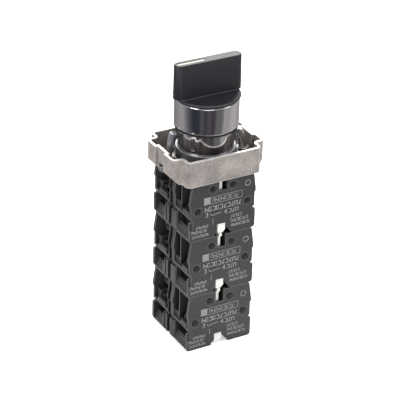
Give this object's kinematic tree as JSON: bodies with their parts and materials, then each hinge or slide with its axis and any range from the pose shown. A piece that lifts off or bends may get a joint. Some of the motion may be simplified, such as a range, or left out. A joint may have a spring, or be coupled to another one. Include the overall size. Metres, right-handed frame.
{
  "type": "selector switch",
  "caption": "Panel selector switch: black wing knob in a chromed bezel and barrel, zinc fixing collar and stacked contact blocks with screw terminals.",
  "frame": {"origin": "on the switch's axis, in the plane where the gasket's underside seats on the panel", "axes": "+Z out of the panel to the user, +X along the wing knob at rest and along the blocks, +Y to the rear column of blocks"},
  "size_m": [0.0408, 0.031, 0.1194],
  "materials": {
    "knob_plastic": "black moulded plastic, light sheen",
    "marker_plastic": "cream plastic strip",
    "chrome_plate": "polished chrome plate on a turned body",
    "rubber": "black rubber",
    "zinc_casting": null,
    "steel": "zinc-plated steel",
    "block_plastic": "dark grey moulded plastic",
    "inner_plastic": "black plastic",
    "white_plastic": "white moulded plastic",
    "brass": "brass strip with silver contact tips"
  },
  "bodies": {
    "root": {"operator_body": "chrome_plate", "panel_gasket": "rubber", "guide_plate": "inner_plastic", "collar_frame": "zinc_casting", "fixing_screws": "steel", "terminal_screws": "steel", "clamp_washers": "steel", "housing_pins": "inner_plastic", "housing_a1": "block_plastic", "housing_a2": "block_plastic", "housing_a3": "block_plastic", "housing_b1": "block_plastic", "housing_b2": "block_plastic", "housing_b3": "block_plastic", "cover_a1": "block_plastic", "cover_a2": "block_plastic", "cover_a3": "block_plastic", "cover_b1": "block_plastic", "cover_b2": "block_plastic", "cover_b3": "block_plastic", "terminals_a1": "brass", "terminals_a2": "brass", "terminals_a3": "brass", "terminals_b1": "brass", "terminals_b2": "brass", "terminals_b3": "brass", "return_spring_a1": "steel", "return_spring_a2": "steel", "return_spring_a3": "steel", "return_spring_b1": "steel", "return_spring_b2": "steel", "return_spring_b3": "steel"},
    "knob_rotor": {"knob": "knob_plastic", "marker_insert": "marker_plastic", "cam_drum": "inner_plastic", "shaft_seal": "rubber", "detent_ball": "steel", "detent_spring": "steel"},
    "lock_ring": {"lock_ring": "steel"},
    "pusher_a": {"pusher_a": "white_plastic"},
    "pusher_b": {"pusher_b": "white_plastic"},
    "plunger_a1": {"plunger_a1": "white_plastic"},
    "bridge_a1": {"bridge_a1": "brass", "contact_spring_a1": "steel"},
    "plunger_a2": {"plunger_a2": "white_plastic"},
    "bridge_a2": {"bridge_a2": "brass", "contact_spring_a2": "steel"},
    "plunger_a3": {"plunger_a3": "white_plastic"},
    "bridge_a3": {"bridge_a3": "brass", "contact_spring_a3": "steel"},
    "plunger_b1": {"plunger_b1": "white_plastic"},
    "bridge_b1": {"bridge_b1": "brass", "contact_spring_b1": "steel"},
    "plunger_b2": {"plunger_b2": "white_plastic"},
    "bridge_b2": {"bridge_b2": "brass", "contact_spring_b2": "steel"},
    "plunger_b3": {"plunger_b3": "white_plastic"},
    "bridge_b3": {"bridge_b3": "brass", "contact_spring_b3": "steel"}
  },
  "joints": [
    {"name": "knob_turn", "type": "hinge", "parent": "root", "child": "knob_rotor", "pos_m": [0, 0, 0], "axis": [0, 0, -1], "range_deg": [0, 90]},
    {"name": "lock_turn", "type": "hinge", "parent": "root", "child": "lock_ring", "pos_m": [0, 0, -0.0135], "axis": [0, 0, -1], "range_deg": [0, 18]},
    {"name": "pusher_a_slide", "type": "slide", "parent": "root", "child": "pusher_a", "axis": [0, 0, -1], "range_m": [0, 0.0043]},
    {"name": "pusher_b_slide", "type": "slide", "parent": "root", "child": "pusher_b", "axis": [0, 0, -1], "range_m": [0, 0.0043]},
    {"name": "plunger_a1_slide", "type": "slide", "parent": "root", "child": "plunger_a1", "axis": [0, 0, -1], "range_m": [0, 0.0043], "deforming": ["return_spring_a1"]},
    {"name": "bridge_a1_slide", "type": "slide", "parent": "root", "child": "bridge_a1", "axis": [0, 0, -1], "range_m": [0, 0.0026], "deforming": ["contact_spring_a1"]},
    {"name": "plunger_a2_slide", "type": "slide", "parent": "root", "child": "plunger_a2", "axis": [0, 0, -1], "range_m": [0, 0.0043], "deforming": ["return_spring_a2"]},
    {"name": "bridge_a2_slide", "type": "slide", "parent": "root", "child": "bridge_a2", "axis": [0, 0, -1], "range_m": [0, 0.0026], "deforming": ["contact_spring_a2"]},
    {"name": "plunger_a3_slide", "type": "slide", "parent": "root", "child": "plunger_a3", "axis": [0, 0, -1], "range_m": [0, 0.0043], "deforming": ["return_spring_a3"]},
    {"name": "bridge_a3_slide", "type": "slide", "parent": "root", "child": "bridge_a3", "axis": [0, 0, -1], "range_m": [0, 0.0026], "deforming": ["contact_spring_a3"]},
    {"name": "plunger_b1_slide", "type": "slide", "parent": "root", "child": "plunger_b1", "axis": [0, 0, -1], "range_m": [0, 0.0043], "deforming": ["return_spring_b1"]},
    {"name": "bridge_b1_slide", "type": "slide", "parent": "root", "child": "bridge_b1", "axis": [0, 0, -1], "range_m": [0, 0.0026], "deforming": ["contact_spring_b1"]},
    {"name": "plunger_b2_slide", "type": "slide", "parent": "root", "child": "plunger_b2", "axis": [0, 0, -1], "range_m": [0, 0.0043], "deforming": ["return_spring_b2"]},
    {"name": "bridge_b2_slide", "type": "slide", "parent": "root", "child": "bridge_b2", "axis": [0, 0, -1], "range_m": [0, 0.0026], "deforming": ["contact_spring_b2"]},
    {"name": "plunger_b3_slide", "type": "slide", "parent": "root", "child": "plunger_b3", "axis": [0, 0, -1], "range_m": [0, 0.0043], "deforming": ["return_spring_b3"]},
    {"name": "bridge_b3_slide", "type": "slide", "parent": "root", "child": "bridge_b3", "axis": [0, 0, -1], "range_m": [0, 0.0026], "deforming": ["contact_spring_b3"]}
  ],
  "couplings": [
    {"joint": "pusher_a_slide", "follows": "knob_turn", "m_per_rad": 0.002737},
    {"joint": "pusher_b_slide", "follows": "knob_turn", "m_per_rad": 0.002737},
    {"joint": "plunger_a1_slide", "follows": "knob_turn", "m_per_rad": 0.002737},
    {"joint": "bridge_a1_slide", "follows": "knob_turn", "m_per_rad": 0.001655},
    {"joint": "plunger_a2_slide", "follows": "knob_turn", "m_per_rad": 0.002737},
    {"joint": "bridge_a2_slide", "follows": "knob_turn", "m_per_rad": 0.001655},
    {"joint": "plunger_a3_slide", "follows": "knob_turn", "m_per_rad": 0.002737},
    {"joint": "bridge_a3_slide", "follows": "knob_turn", "m_per_rad": 0.001655},
    {"joint": "plunger_b1_slide", "follows": "knob_turn", "m_per_rad": 0.002737},
    {"joint": "bridge_b1_slide", "follows": "knob_turn", "m_per_rad": 0.001655},
    {"joint": "plunger_b2_slide", "follows": "knob_turn", "m_per_rad": 0.002737},
    {"joint": "bridge_b2_slide", "follows": "knob_turn", "m_per_rad": 0.001655},
    {"joint": "plunger_b3_slide", "follows": "knob_turn", "m_per_rad": 0.002737},
    {"joint": "bridge_b3_slide", "follows": "knob_turn", "m_per_rad": 0.001655}
  ]
}
